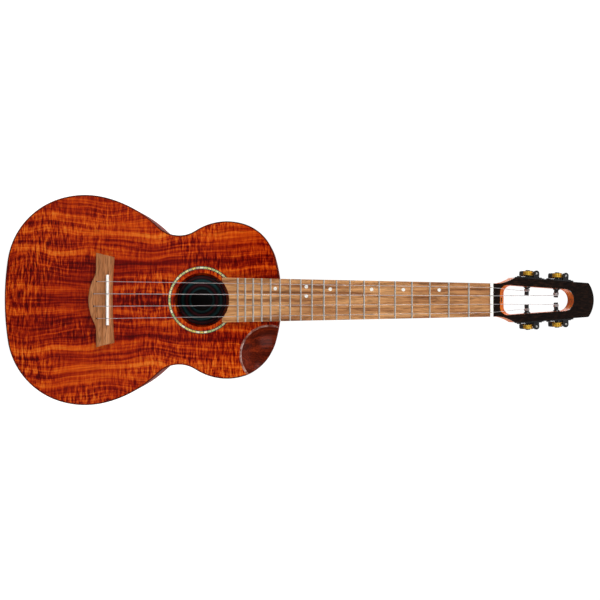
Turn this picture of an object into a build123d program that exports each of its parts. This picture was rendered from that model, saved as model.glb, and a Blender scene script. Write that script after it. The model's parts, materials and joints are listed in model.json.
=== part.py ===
from build123d import *
from math import atan2, cos, degrees, radians, sin, sqrt, tan
import os

# Tenor ukulele in millimetres: +Z runs from the tail up the neck, the soundboard faces -Y,
# the bass side is -X and the treble side, with the arm scoop, is +X.

# ---- driving dimensions ----
SCALE = 430.0            # string length that the frets are spaced for
NUT_Z = 553.5            # where the fretboard meets the nut
NUT_LENGTH = 3.5
FRET_COUNT = 19
BODY_LENGTH = 315.5
TAIL_DEPTH = 75.0        # soundboard to back at the tail
HEEL_DEPTH = 65.0        # the same at the neck
TOP_THICK = 1.9
BACK_THICK = 2.0
SIDE_THICK = 2.0
BIND_WIDE = 1.4
BIND_DEEP = 3.0
LINING_WIDE = 5.0
LINING_DEEP = 8.0
HOLE_Z = 225.4
HOLE_R = 31.0
BOARD_THICK = 6.5
SADDLE_Z = 119.5
SADDLE_RISE = 10.8       # saddle crest over the soundboard
BRIDGE_THICK = 7.0
NUT_RISE = 7.9           # underside of the strings over the soundboard plane at the nut
HEAD_TILT = 14.0
HEAD_LENGTH = 130.0
HEAD_THICK = 15.0
VENEER = 1.8
RAIL = 9.0
NOSE_R = 45.0            # the ball the arm scoop is cut with
STRING_D = {1: 0.57, 2: 0.66, 3: 0.83, 4: 0.66}
NUT_X = {1: 14.25, 2: 4.75, 3: -4.75, 4: -14.25}
BRIDGE_X = {1: 20.9, 2: 7.0, 3: -7.0, 4: -20.9}

# the soundboard plane is set so that the whole depth is centred on y = 0
TOP_Y = SADDLE_RISE + STRING_D[3] - (SADDLE_RISE + STRING_D[3] + TAIL_DEPTH) / 2
TAPER = degrees(atan2(TAIL_DEPTH - HEEL_DEPTH, BODY_LENGTH))
BACK = Plane(
    origin=(0, TOP_Y + TAIL_DEPTH, 0),
    x_dir=(1, 0, 0),
    z_dir=(0, cos(radians(TAPER)), sin(radians(TAPER))),
)
CAVITY_FRONT = TOP_Y + TOP_THICK
CAVITY_BACK = BACK.offset(-BACK_THICK)

# half of the plan shape as tangent arcs from the tail: radius and turn in degrees
BODY_ARCS = (
    (313.0, 8.55),       # tail
    (85.9, 63.67),       # lower corner
    (96.9, 32.37),       # lower bout
    (133.6, 29.61),      # flank
    (34.2, -77.23),      # waist
    (65.8, 51.96),       # upper bout
    (51.4, 55.11),       # shoulder
)


def facing(y):
    """Plane at depth y that looks to the front, drawn in x and z."""
    return Plane.XZ.offset(-y)


def body_outline(y, inset=0.0):
    """Plan shape of the body at depth y, drawn in by an inset."""
    with BuildSketch(facing(y)) as outline:
        with BuildLine():
            start = Vector(0, 0)
            heading = Vector(1, 0)
            for radius, turn in BODY_ARCS:
                arc = JernArc(start, heading, radius, turn)
                start = arc @ 1
                heading = arc % 1
            TangentArc(start, (0, BODY_LENGTH), tangent=heading)
            Line((0, BODY_LENGTH), (0, 0))
        make_face()
        mirror(about=Plane.YZ)
        if inset:
            offset(amount=-inset)
    return outline.sketch


def body_block(inset, front, back):
    """Solid of the body's plan shape from depth front to the plane back."""
    with BuildPart() as block:
        extrude(body_outline(front, inset), amount=-(TAIL_DEPTH + 20))
        split(bisect_by=back, keep=Keep.BOTTOM)
    return block.part


def body_ring(outer, inner, front, back):
    """Wall between two insets of the plan shape."""
    with BuildPart() as ring:
        add(body_block(outer, front, back))
        add(body_block(inner, front - 1, back.offset(1)), mode=Mode.SUBTRACT)
    return ring.part


def box_between(x0, x1, y0, y1, z0, z1):
    """Box from one corner to the other."""
    with BuildPart() as block:
        with Locations(((x0 + x1) / 2, (y0 + y1) / 2, (z0 + z1) / 2)):
            Box(x1 - x0, y1 - y0, z1 - z0)
    return block.part


def rod(start, end, diameter):
    """Round bar from one point to another."""
    start, end = Vector(*start), Vector(*end)
    with BuildPart(Plane(origin=start, z_dir=end - start)) as bar:
        Cylinder(diameter / 2, (end - start).length, align=(Align.CENTER, Align.CENTER, Align.MIN))
    return bar.part


def ball(radius):
    """The arm scoop's ball, or one a veneer or a block larger."""
    sink = sqrt(NOSE_R**2 - 33.2**2)
    with BuildPart() as sphere:
        with Locations((62.8, TOP_Y - sink, 303)):
            Sphere(radius)
    return sphere.part


def fret_z(number):
    return NUT_Z - SCALE * (1 - 2 ** (-number / 12))


def board_half(z):
    """Half width of the fretboard at height z."""
    return 19.0 + (NUT_Z - z) * 0.0213


def bridge_hole_z(number):
    """Height of a string's hole through bridge, top and plate."""
    return 107.0 if number in (1, 4) else 103.5


def post_s(number):
    """Place of a string's post along the headstock."""
    return 48.2 if number in (1, 4) else 86.1


def save(piece, name):
    piece.label = name
    export_step(piece, f"parts/{name}.step")


os.makedirs("parts", exist_ok=True)
scoop_cut = ball(NOSE_R + 1)
scoop_block_ball = ball(NOSE_R + 9)

# ---- the box: top, back, sides, bindings ----
with BuildPart() as soundboard:
    extrude(body_outline(TOP_Y, BIND_WIDE), amount=-TOP_THICK)
    with BuildSketch(facing(TOP_Y)):
        with Locations((0, HOLE_Z)):
            Circle(HOLE_R)
    extrude(amount=-TOP_THICK, mode=Mode.SUBTRACT)
    with BuildSketch(facing(TOP_Y)):
        with Locations((0, HOLE_Z)):
            Circle(HOLE_R + 7.8)
            Circle(HOLE_R + 4.2, mode=Mode.SUBTRACT)
    extrude(amount=-1.0, mode=Mode.SUBTRACT)
    with BuildSketch(facing(TOP_Y)):
        with Locations(*[(BRIDGE_X[n], bridge_hole_z(n)) for n in BRIDGE_X]):
            Circle(0.9)
    extrude(amount=-TOP_THICK, mode=Mode.SUBTRACT)
    add(scoop_cut, mode=Mode.SUBTRACT)
save(soundboard.part, "soundboard")

with BuildPart() as rosette:
    with BuildSketch(facing(TOP_Y)):
        with Locations((0, HOLE_Z)):
            Circle(HOLE_R + 7.8)
            Circle(HOLE_R + 4.2, mode=Mode.SUBTRACT)
    extrude(amount=-1.0)
save(rosette.part, "rosette")

with BuildPart() as back_binding:
    add(body_ring(0, BIND_WIDE, TOP_Y + 20, BACK))
    split(bisect_by=BACK.offset(-BIND_DEEP), keep=Keep.TOP)
save(back_binding.part, "back_binding")

TOP_REBATE = Plane.XZ.offset(-TOP_Y - BIND_DEEP).rotated((180, 0, 0))
for side, name in ((-1, "bass"), (1, "treble")):
    keep = Keep.TOP if side > 0 else Keep.BOTTOM
    with BuildPart() as back_half:
        add(body_block(BIND_WIDE, TOP_Y + 20, BACK))
        split(bisect_by=CAVITY_BACK, keep=Keep.TOP)
        split(bisect_by=Plane.YZ, keep=keep)
    save(back_half.part, f"back_{name}")
    with BuildPart() as side_wall:
        add(body_ring(0, SIDE_THICK, CAVITY_FRONT, CAVITY_BACK))
        add(body_ring(0, BIND_WIDE, TOP_Y - 1, TOP_REBATE), mode=Mode.SUBTRACT)
        add(back_binding.part, mode=Mode.SUBTRACT)
        split(bisect_by=Plane.YZ, keep=keep)
        add(scoop_cut, mode=Mode.SUBTRACT)
        add(rod((0, TOP_Y + 30, BODY_LENGTH - 20), (0, TOP_Y + 30, BODY_LENGTH + 5), 6), mode=Mode.SUBTRACT)
    save(side_wall.part, f"side_{name}")

with BuildPart() as top_binding:
    extrude(body_outline(TOP_Y), amount=-BIND_DEEP)
    extrude(body_outline(TOP_Y, BIND_WIDE), amount=-BIND_DEEP, mode=Mode.SUBTRACT)
    add(scoop_cut, mode=Mode.SUBTRACT)
save(top_binding.part, "top_binding")

# ---- inside the box: blocks, linings, braces ----
block_room = box_between(-27, 27, TOP_Y, TOP_Y + 80, 272, BODY_LENGTH)
tail_room = box_between(-20, 20, TOP_Y, TOP_Y + 80, -1, 16)
bolt_hole = rod((0, TOP_Y + 30, 270), (0, TOP_Y + 30, BODY_LENGTH), 6)
cavity = body_block(SIDE_THICK, CAVITY_FRONT, CAVITY_BACK)

with BuildPart() as neck_block:
    add(cavity)
    add(block_room, mode=Mode.INTERSECT)
    add(bolt_hole, mode=Mode.SUBTRACT)
save(neck_block.part, "neck_block")

with BuildPart() as tail_block:
    add(cavity)
    add(tail_room, mode=Mode.INTERSECT)
save(tail_block.part, "tail_block")

with BuildPart() as scoop_block:
    add(cavity)
    add(scoop_block_ball, mode=Mode.INTERSECT)
    add(box_between(27.5, 120, TOP_Y, TOP_Y + 60, 220, 330), mode=Mode.INTERSECT)
    add(scoop_cut, mode=Mode.SUBTRACT)
save(scoop_block.part, "scoop_block")

with BuildPart() as scoop_shell:
    add(body_block(0, TOP_Y, BACK))
    add(scoop_cut, mode=Mode.INTERSECT)
    add(ball(NOSE_R), mode=Mode.SUBTRACT)
with BuildPart() as scoop_panel:
    add(scoop_shell.part)
    split(bisect_by=facing(TOP_Y + 1), keep=Keep.BOTTOM)
save(scoop_panel.part, "scoop_panel")
with BuildPart() as scoop_purfling:
    add(scoop_shell.part)
    split(bisect_by=facing(TOP_Y + 1), keep=Keep.TOP)
save(scoop_purfling.part, "scoop_purfling")

with BuildPart() as top_lining:
    extrude(body_outline(CAVITY_FRONT, SIDE_THICK), amount=-LINING_DEEP)
    extrude(body_outline(CAVITY_FRONT, SIDE_THICK + LINING_WIDE), amount=-LINING_DEEP, mode=Mode.SUBTRACT)
    add([block_room, tail_room, scoop_block_ball], mode=Mode.SUBTRACT)
save(top_lining.part, "top_lining")

with BuildPart() as back_lining:
    add(body_ring(SIDE_THICK, SIDE_THICK + LINING_WIDE, TOP_Y + 30, CAVITY_BACK))
    split(bisect_by=CAVITY_BACK.offset(-LINING_DEEP), keep=Keep.TOP)
    add([block_room, tail_room], mode=Mode.SUBTRACT)
save(back_lining.part, "back_lining")

plate_room = body_block(SIDE_THICK + LINING_WIDE + 0.5, CAVITY_FRONT, CAVITY_BACK)
with BuildPart() as top_braces:
    for z, deep in ((262, 10), (185, 9)):
        add(box_between(-130, 130, CAVITY_FRONT, CAVITY_FRONT + deep, z - 3, z + 3))
    for x, lean in ((-38, -0.12), (0, 0), (38, 0.12)):
        length = 60
        with BuildSketch(Plane.XY.offset(44)):
            with Locations((x + lean * length, CAVITY_FRONT + 3)):
                Rectangle(5, 6)
        with BuildSketch(Plane.XY.offset(44 + length - 14)):
            with Locations((x, CAVITY_FRONT + 3)):
                Rectangle(5, 6)
        loft()
    add(plate_room, mode=Mode.INTERSECT)
    add(scoop_block_ball, mode=Mode.SUBTRACT)
save(top_braces.part, "top_braces")

with BuildPart() as back_braces:
    for z in (70, 160, 268):
        add(box_between(-130, 130, TOP_Y + 40, TOP_Y + 80, z - 3.5, z + 3.5 if z < 200 else z + 3))
    split(bisect_by=CAVITY_BACK.offset(-9), keep=Keep.TOP)
    add(plate_room, mode=Mode.INTERSECT)
save(back_braces.part, "back_braces")

with BuildPart() as bridge_plate:
    add(box_between(-42, 42, CAVITY_FRONT, CAVITY_FRONT + 2.5, 92, 130))
    for n in BRIDGE_X:
        add(rod((BRIDGE_X[n], TOP_Y, bridge_hole_z(n)), (BRIDGE_X[n], TOP_Y + 6, bridge_hole_z(n)), 1.8),
            mode=Mode.SUBTRACT)
save(bridge_plate.part, "bridge_plate")

with BuildPart() as label:
    with BuildSketch(CAVITY_BACK):
        with Locations((0, 7.5 - HOLE_Z)):
            Circle(30)
    extrude(amount=-0.4)
save(label.part, "label")

# ---- bridge and saddle ----
with BuildPart() as bridge:
    with BuildSketch(facing(TOP_Y)):
        with BuildLine():
            Spline((-36, 106), (-20, 101), (0, 97.3), (20, 101), (36, 106), tangents=((1, 0), (1, 0)))
            Polyline((36, 106), (53.6, 106), (49, 125.6))
            ThreePointArc((49, 125.6), (0, 123.6), (-49, 125.6))
            Polyline((-49, 125.6), (-53.6, 106), (-36, 106))
        make_face()
    extrude(amount=BRIDGE_THICK)
    fillet(bridge.faces().sort_by(Axis.Y)[0].edges(), 1.0)
    add(box_between(-28.5, 28.5, TOP_Y - 9, TOP_Y - BRIDGE_THICK + 4, SADDLE_Z - 1.5, SADDLE_Z + 1.5),
        mode=Mode.SUBTRACT)
    with BuildSketch(facing(TOP_Y)):
        with Locations(*[(BRIDGE_X[n], bridge_hole_z(n)) for n in BRIDGE_X]):
            Circle(0.9)
    extrude(amount=BRIDGE_THICK, mode=Mode.SUBTRACT)
save(bridge.part, "bridge")

with BuildPart() as saddle:
    with BuildSketch(Plane.YZ.offset(-28.5)):
        with BuildLine():
            foot = TOP_Y - BRIDGE_THICK + 4
            crest = TOP_Y - SADDLE_RISE
            Polyline((crest + 1.5, SADDLE_Z - 1.5), (foot, SADDLE_Z - 1.5), (foot, SADDLE_Z + 1.5),
                     (crest + 1.5, SADDLE_Z + 1.5))
            ThreePointArc((crest + 1.5, SADDLE_Z + 1.5), (crest, SADDLE_Z), (crest + 1.5, SADDLE_Z - 1.5))
        make_face()
    extrude(amount=57)
save(saddle.part, "saddle")

# ---- headstock planes ----
tilt = radians(HEAD_TILT)
HEAD = Plane(
    origin=(0, TOP_Y - BOARD_THICK + 2.0, NUT_Z + NUT_LENGTH),
    x_dir=(1, 0, 0),
    z_dir=(0, -cos(tilt), sin(tilt)),
)
FLARE_S, FLARE_HALF = 28.0, 25.7
TIP_S, TIP_HALF = 123.0, 20.0
RAKE = atan2(FLARE_HALF - TIP_HALF, TIP_S - FLARE_S)


def head_half(s):
    """Half width of the headstock at s along its face."""
    return FLARE_HALF - (s - FLARE_S) * tan(RAKE)


def head_point(x, s, h):
    """Point at x, s along the face, h behind it."""
    return HEAD.from_local_coords(Vector(x, s, -h))


def head_outline(depth):
    """Headstock seen from the front, at a depth behind its face."""
    with BuildSketch(HEAD.offset(-depth)) as outline:
        with BuildLine():
            Line((0, 0), (18.7, 0))
            Line((18.7, 0), (18.7, 4))
            TangentArc((18.7, 4), (FLARE_HALF, FLARE_S), tangent=(0, 1))
            Line((FLARE_HALF, FLARE_S), (TIP_HALF, TIP_S))
            ThreePointArc((TIP_HALF, TIP_S), (TIP_HALF / 2, 128.35), (0, HEAD_LENGTH))
            Line((0, HEAD_LENGTH), (0, 0))
        make_face()
        mirror(about=Plane.YZ)
        fillet(outline.vertices().group_by(Axis.Y)[-2], 3)
    return outline.sketch


def slot_outline(depth, near=9.3):
    """Window for the strings, a rail's width in from the headstock's sides."""
    far = 91.8
    inner = RAIL / cos(RAKE)
    with BuildSketch(HEAD.offset(-depth)) as window:
        with BuildLine():
            Polyline((-head_half(far) + inner, far), (-head_half(near) + inner, near),
                     (head_half(near) - inner, near), (head_half(far) - inner, far))
            ThreePointArc((head_half(far) - inner, far), (0, 104.7), (-head_half(far) + inner, far))
        make_face()
        fillet(window.vertices().group_by(Axis.Y)[0], 9)
    return window.sketch


def tuner_plane(number):
    """Plane on the headstock's side at a post: x to the tip, z outward, y across the side."""
    side = 1 if number in (1, 2) else -1
    s = post_s(number)
    origin = head_point(side * head_half(s), s, 8.0)
    outward = head_point(side * cos(RAKE), sin(RAKE), 0) - HEAD.origin
    along = head_point(-side * sin(RAKE), cos(RAKE), 0) - HEAD.origin
    return Plane(origin=origin, x_dir=along, z_dir=outward)


def front_sign(number):
    """Whether +y of a tuner's plane points to the front or to the back."""
    return 1 if number in (1, 2) else -1


nut_room = box_between(-30, 30, TOP_Y - 30, TOP_Y, 200, NUT_Z + NUT_LENGTH)

with BuildPart() as headstock_faceplate:
    extrude(head_outline(0), amount=-VENEER)
    extrude(slot_outline(0), amount=-VENEER, mode=Mode.SUBTRACT)
    add(nut_room, mode=Mode.SUBTRACT)
save(headstock_faceplate.part, "headstock_faceplate")


# ---- neck ----
def neck_section(plane, half, cheek, depth):
    """Half-round section of the neck with its flat at the plane's x axis."""
    with BuildSketch(plane) as section:
        with BuildLine():
            Line((-half, 0), (half, 0))
            Line((half, 0), (half, cheek))
            EllipticalCenterArc((0, cheek), half, depth - cheek, start_angle=0, arc_size=180)
            Line((-half, cheek), (-half, 0))
        make_face()
    return section.sketch


def neck_plane(z):
    return Plane(origin=(0, TOP_Y, z), x_dir=(1, 0, 0), z_dir=(0, 0, 1))


def heel_section(depth, half, length):
    """Pointed arch of the heel at a depth behind the soundboard plane."""
    foot = BODY_LENGTH - 6
    with BuildSketch(facing(TOP_Y + depth)) as arch:
        with BuildLine():
            Line((-half, foot), (half, foot))
            TangentArc((half, foot), (0, BODY_LENGTH + length), tangent=(0, 1))
            TangentArc((-half, foot), (0, BODY_LENGTH + length), tangent=(0, 1))
        make_face()
    return arch.sketch


def shaft(first, last):
    """Neck without its head, between two heights."""
    with BuildPart() as bar:
        loft([neck_section(neck_plane(z), board_half(z), 1.5, 9.6 + (NUT_Z - z) * 0.0125)
              for z in (first, last)])
    return bar.part


with BuildPart() as heel:
    loft([heel_section(2, 24, 52), heel_section(14, 17.5, 33), heel_section(34, 10.5, 20),
          heel_section(68, 6.9, 16.5)])

head_root = head_point(0, 10, VENEER)
HEAD_CROSS = Plane(origin=head_root, x_dir=(1, 0, 0), z_dir=(0, sin(tilt), cos(tilt)))

# towards the nut the window's floor slopes, so that the strings clear it
with BuildPart() as head_window:
    loft([slot_outline(0), slot_outline(HEAD_THICK + 1, 9.3 + 13)])

TRUSS_Y = TOP_Y + 4.0
TRUSS_FOOT = BODY_LENGTH + 6
stripe_room = box_between(-1.4, 1.4, TOP_Y + 7.6, TOP_Y + 20, 350, 548)

with BuildPart() as head_body:
    extrude(head_outline(VENEER), amount=-(HEAD_THICK - VENEER))
    split(bisect_by=HEAD_CROSS, keep=Keep.TOP)


def tuner_holes(number):
    """What a tuner's collar and its two screws take out of the headstock."""
    with BuildPart(tuner_plane(number)) as drilling:
        Cylinder(3.2, 30)
        with Locations((-11, 0, -8), (16, 0, -8)):
            Cylinder(1.1, 8, align=(Align.CENTER, Align.CENTER, Align.MIN))
    return drilling.part


with BuildPart() as neck:
    add(shaft(BODY_LENGTH - 8, NUT_Z - 4))
    add(heel.part)
    split(bisect_by=BACK.offset(-2.5), keep=Keep.BOTTOM)
    loft([neck_section(neck_plane(NUT_Z - 4), board_half(NUT_Z - 4), 1.5, 9.65),
          neck_section(HEAD_CROSS, 19.1, 12.0, HEAD_THICK - VENEER)])
    extrude(head_outline(VENEER), amount=-(HEAD_THICK - VENEER) / 2)
    add(head_body.part)
    add(body_block(0, TOP_Y - 1, BACK.offset(5)), mode=Mode.SUBTRACT)
    add(nut_room, mode=Mode.SUBTRACT)
    add(head_window.part, mode=Mode.SUBTRACT)
    add(stripe_room, mode=Mode.SUBTRACT)
    add(rod((0, TRUSS_Y, TRUSS_FOOT), (0, TRUSS_Y, 539.6), 4), mode=Mode.SUBTRACT)
    add(rod((0, TRUSS_Y, 539.6), (0, TRUSS_Y, 585), 6.2), mode=Mode.SUBTRACT)
    add(rod((0, TOP_Y + 30, BODY_LENGTH - 5), (0, TOP_Y + 30, 328), 6), mode=Mode.SUBTRACT)
    for number in STRING_D:
        add(tuner_holes(number), mode=Mode.SUBTRACT)
save(neck.part, "neck")

with BuildPart() as heel_cap:
    add(heel.part)
    split(bisect_by=BACK.offset(-2.5), keep=Keep.TOP)
    split(bisect_by=BACK, keep=Keep.BOTTOM)
    add(body_block(0, TOP_Y - 1, BACK.offset(5)), mode=Mode.SUBTRACT)
save(heel_cap.part, "heel_cap")

with BuildPart() as neck_stripe:
    add(shaft(350, NUT_Z - 4))
    add(stripe_room, mode=Mode.INTERSECT)
save(neck_stripe.part, "neck_stripe")

# ---- truss rod ----
with BuildPart() as truss_rod:
    add(rod((0, TRUSS_Y, TRUSS_FOOT), (0, TRUSS_Y, 545.5), 4))
save(truss_rod.part, "truss_rod")

with BuildPart(Plane(origin=(0, TRUSS_Y, 540.0))) as truss_rod_nut:
    Cylinder(2.8, 10, align=(Align.CENTER, Align.CENTER, Align.MIN))
    Cylinder(2.05, 6, align=(Align.CENTER, Align.CENTER, Align.MIN), mode=Mode.SUBTRACT)
    with BuildSketch(Plane(origin=(0, TRUSS_Y, 550.0))):
        RegularPolygon(1.5, 6, major_radius=False)
    extrude(amount=-3.5, mode=Mode.SUBTRACT)
save(truss_rod_nut.part, "truss_rod_nut")

with BuildPart() as neck_bolt:
    add(rod((0, TOP_Y + 30, 272), (0, TOP_Y + 30, 327.5), 6))
    add(rod((0, TOP_Y + 30, 267), (0, TOP_Y + 30, 272), 11))
save(neck_bolt.part, "neck_bolt")

# ---- fretboard, frets, nut, dots ----
TANG = 0.6
spaces = {n: (fret_z(n) + fret_z(n - 1)) / 2 for n in range(1, FRET_COUNT + 1)}
dots = [(-11.5 - (n - 3) * 0.12, spaces[n]) for n in (3, 5, 7, 10, 15)]
dots += [(-15.0, spaces[12]), (-4.5, spaces[12])]
edge_dots = [(-board_half(spaces[n]), spaces[n] + shift) for n, shift in
             ((3, 0), (5, 0), (7, 0), (10, 0), (12, -3), (12, 3), (15, 0))]

with BuildPart() as fretboard:
    with BuildSketch(facing(TOP_Y)):
        end = 249.0
        Polygon((-board_half(end), end), (board_half(end), end), (board_half(NUT_Z), NUT_Z),
                (-board_half(NUT_Z), NUT_Z), align=None)
        with Locations((0, HOLE_Z)):
            Circle(HOLE_R + 0.8, mode=Mode.SUBTRACT)
    extrude(amount=BOARD_THICK)
    for n in range(1, FRET_COUNT + 1):
        z = fret_z(n)
        add(box_between(-30, 30, TOP_Y - BOARD_THICK, TOP_Y - BOARD_THICK + 2, z - TANG / 2, z + TANG / 2),
            mode=Mode.SUBTRACT)
    with BuildSketch(facing(TOP_Y - BOARD_THICK)):
        with Locations(*dots):
            Circle(2.0)
    extrude(amount=-1.2, mode=Mode.SUBTRACT)
    for x, z in edge_dots:
        add(rod((x - 1, TOP_Y - 3.5, z), (x + 1.5, TOP_Y - 3.5, z), 1.8), mode=Mode.SUBTRACT)
save(fretboard.part, "fretboard")

with BuildPart() as fret_markers:
    with BuildSketch(facing(TOP_Y - BOARD_THICK)):
        with Locations(*dots):
            Circle(2.0)
    extrude(amount=-1.2)
    for x, z in edge_dots:
        add(rod((x, TOP_Y - 3.5, z), (x + 1.5, TOP_Y - 3.5, z), 1.8))
save(fret_markers.part, "fret_markers")

with BuildPart() as frets:
    for n in range(1, FRET_COUNT + 1):
        z = fret_z(n)
        crown = TOP_Y - BOARD_THICK
        half = board_half(z) - 0.1
        with BuildSketch(Plane.YZ.offset(-half)):
            with BuildLine():
                Polyline((crown, z - 1.0), (crown, z - TANG / 2), (crown + 1.8, z - TANG / 2),
                         (crown + 1.8, z + TANG / 2), (crown, z + TANG / 2), (crown, z + 1.0))
                ThreePointArc((crown, z + 1.0), (crown - 1.0, z), (crown, z - 1.0))
            make_face()
        extrude(amount=2 * half)
save(frets.part, "frets")


# ---- strings ----
def post_point(number, gap):
    """Where a string reaches the front of its post."""
    radius = STRING_D[number] / 2
    x = 10.0 if number in (1, 4) else 5.2
    return head_point(x if number in (1, 2) else -x, post_s(number) - 0.4, 8.0 - 2.5 - radius - gap)


def string_points(number):
    """Knot, bridge hole, saddle, nut and post, along the string's middle line."""
    radius = STRING_D[number] / 2
    hole_z = bridge_hole_z(number)
    x = BRIDGE_X[number]
    return [
        (x, CAVITY_FRONT + 4.0, hole_z),
        (x, TOP_Y - BRIDGE_THICK - radius, hole_z + 0.3),
        (x, TOP_Y - SADDLE_RISE - radius - 0.02, SADDLE_Z - 0.3),
        (NUT_X[number], TOP_Y - NUT_RISE - radius, NUT_Z + 0.4),
        tuple(post_point(number, 0.35)),
    ]


with BuildPart() as nut:
    with BuildSketch(Plane.YZ.offset(-19)):
        top = TOP_Y - NUT_RISE - 0.3
        Polygon((TOP_Y, NUT_Z), (TOP_Y, NUT_Z + NUT_LENGTH), (top + 0.75, NUT_Z + NUT_LENGTH), (top, NUT_Z),
                align=None)
    extrude(amount=38)
    for number in STRING_D:
        points = string_points(number)
        wide = STRING_D[number] + 0.08
        add(rod(points[3], points[4], wide), mode=Mode.SUBTRACT)
        add(rod(points[3], points[2], wide), mode=Mode.SUBTRACT)
        with Locations(points[3]):
            Sphere(wide / 2, mode=Mode.SUBTRACT)
save(nut.part, "nut")

for number in STRING_D:
    points = string_points(number)
    with BuildPart() as string:
        for start, end in zip(points, points[1:]):
            add(rod(start, end, STRING_D[number]))
        with Locations(*points[1:4]):
            Sphere(STRING_D[number] / 2)
        with Locations((points[0][0], CAVITY_FRONT + 2.5 + 1.5, points[0][2])):
            Sphere(1.5)
    save(string.part, f"string_{number}")

# ---- tuning machines ----
GEAR_R = 5.2
TEETH = 14
GEAR_FOOT = 4.2          # underside of the gear over the headstock's side
GEAR_THICK = 4.8
GEAR_TOP = GEAR_FOOT + GEAR_THICK
WORM_X = 7.5
WORM_Z = GEAR_FOOT + GEAR_THICK / 2
WORM_R = 2.0
CORE_R = 1.4
POST_R = 2.5
FIT = 0.05


def across(number, y, x=WORM_X, z=WORM_Z):
    """Point of a tuner, y counted to the front."""
    return (x, front_sign(number) * y, z)


collars = []
screws = []
for number in (1, 2, 3, 4):
    plane = tuner_plane(number)
    name = f"tuner_{number}"
    sign = front_sign(number)

    with BuildPart(plane) as plate:
        with BuildSketch(plane):
            with Locations((2.5, 0)):
                RectangleRounded(33, 14, 3)
        extrude(amount=1.5)
        for middle in (5.75, -5.75):
            with Locations(across(number, middle)):
                Cylinder(3.5, 2.5, rotation=(90, 0, 0))
            with Locations(across(number, middle, z=(WORM_Z + 1.5) / 2)):
                Box(7, 2.5, WORM_Z - 1.5)
        with Locations(across(number, 0)):
            Cylinder(CORE_R + FIT, 20, rotation=(90, 0, 0), mode=Mode.SUBTRACT)
        Cylinder(POST_R + FIT, 10, mode=Mode.SUBTRACT)
        with Locations((-11, 0, 0), (16, 0, 0)):
            Cylinder(1.1, 10, mode=Mode.SUBTRACT)
    save(plate.part, f"{name}_plate")

    with BuildPart(plane) as post:
        with Locations((0, 0, -19.3)):
            Cylinder(POST_R, 19.3 + GEAR_FOOT, align=(Align.CENTER, Align.CENTER, Align.MIN))
        fillet(post.edges().sort_by(Axis((0, 0, 0), plane.z_dir))[0], 0.6)
        with Locations((0, 0, GEAR_FOOT)):
            Cylinder(1.7, GEAR_THICK, align=(Align.CENTER, Align.CENTER, Align.MIN))
        with Locations((0, 0, -17.0 if number in (2, 3) else -14.3)):
            Cylinder(0.7, 8, rotation=(90, 0, 0), mode=Mode.SUBTRACT)
        with Locations((0, 0, GEAR_TOP - 3)):
            Cylinder(0.8, 3, align=(Align.CENTER, Align.CENTER, Align.MIN), mode=Mode.SUBTRACT)
    with BuildPart(plane) as gear_screw:
        with Locations((0, 0, GEAR_TOP)):
            Cylinder(2.7, 1.2, align=(Align.CENTER, Align.CENTER, Align.MIN))
        fillet(gear_screw.edges().sort_by(Axis((0, 0, 0), plane.z_dir))[-1], 0.5)
        with Locations((0, 0, GEAR_TOP + 1.2)):
            Box(5.6, 0.8, 1.0, mode=Mode.SUBTRACT)
        with Locations((0, 0, GEAR_TOP - 3)):
            Cylinder(0.8, 3, align=(Align.CENTER, Align.CENTER, Align.MIN))
    save(Compound(children=[post.part.solid(), gear_screw.part.solid()]), f"{name}_post")

    with BuildPart(plane) as gear:
        with Locations((0, 0, GEAR_FOOT)):
            Cylinder(GEAR_R, GEAR_THICK, align=(Align.CENTER, Align.CENTER, Align.MIN))
            Cylinder(1.7, GEAR_THICK, align=(Align.CENTER, Align.CENTER, Align.MIN), mode=Mode.SUBTRACT)
        with BuildSketch(plane.offset(GEAR_FOOT)):
            with PolarLocations(GEAR_R - 0.45, TEETH):
                Trapezoid(1.3, 0.95, 99, align=(Align.CENTER, Align.CENTER), rotation=90)
        extrude(amount=GEAR_THICK, mode=Mode.SUBTRACT)
    save(gear.part, f"{name}_gear")

    with BuildPart(plane) as worm:
        with Locations(across(number, -4.2)):
            Cylinder(CORE_R, 23.6, rotation=(90, 0, 0))
        for ridge in range(4):
            with Locations(across(number, (ridge - 1.5) * 2.1)):
                Cylinder(WORM_R, 0.9, rotation=(90, 0, 0))
    save(worm.part, f"{name}_worm")

    with BuildPart(plane) as button:
        with BuildSketch(plane.offset(WORM_Z - 3.6)):
            with Locations((WORM_X, sign * -16.9)):
                Ellipse(8.6, 6.1)
        extrude(amount=7.2)
        fillet(button.edges(), 2.4)
        with Locations(across(number, -10.4)):
            Cylinder(2.6, 3.6, rotation=(90, 0, 0))
        with Locations(across(number, -12.3)):
            Cylinder(CORE_R, 7.4, rotation=(90, 0, 0), mode=Mode.SUBTRACT)
    save(button.part, f"{name}_button")

    with BuildPart(plane) as collar:
        with Locations((0, 0, -RAIL)):
            Cylinder(3.2, RAIL, align=(Align.CENTER, Align.CENTER, Align.MIN))
        with Locations((0, 0, -RAIL - 0.8)):
            Cone(3.2, 4.2, 1.6)
        Cylinder(POST_R + FIT, 40, mode=Mode.SUBTRACT)
    collars.append(collar.part.solid())

    for x in (-11, 16):
        with BuildPart(plane) as screw:
            with Locations((x, 0, -7.5)):
                Cylinder(1.1, 9, align=(Align.CENTER, Align.CENTER, Align.MIN))
            with Locations((x, 0, 1.5)):
                Cylinder(2.4, 1.2, align=(Align.CENTER, Align.CENTER, Align.MIN))
            fillet(screw.edges().sort_by(Axis((0, 0, 0), plane.z_dir))[-1], 0.8)
            with Locations((x, 0, 2.7)):
                Box(2.6, 0.6, 1.2, mode=Mode.SUBTRACT)
                Box(0.6, 2.6, 1.2, mode=Mode.SUBTRACT)
        screws.append(screw.part.solid())

save(Compound(children=collars), "tuner_collars")
save(Compound(children=screws), "tuner_screws")
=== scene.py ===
"""Tenor ukulele: the finishes, the wound strings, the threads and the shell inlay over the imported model."""

import json
import math

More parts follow.
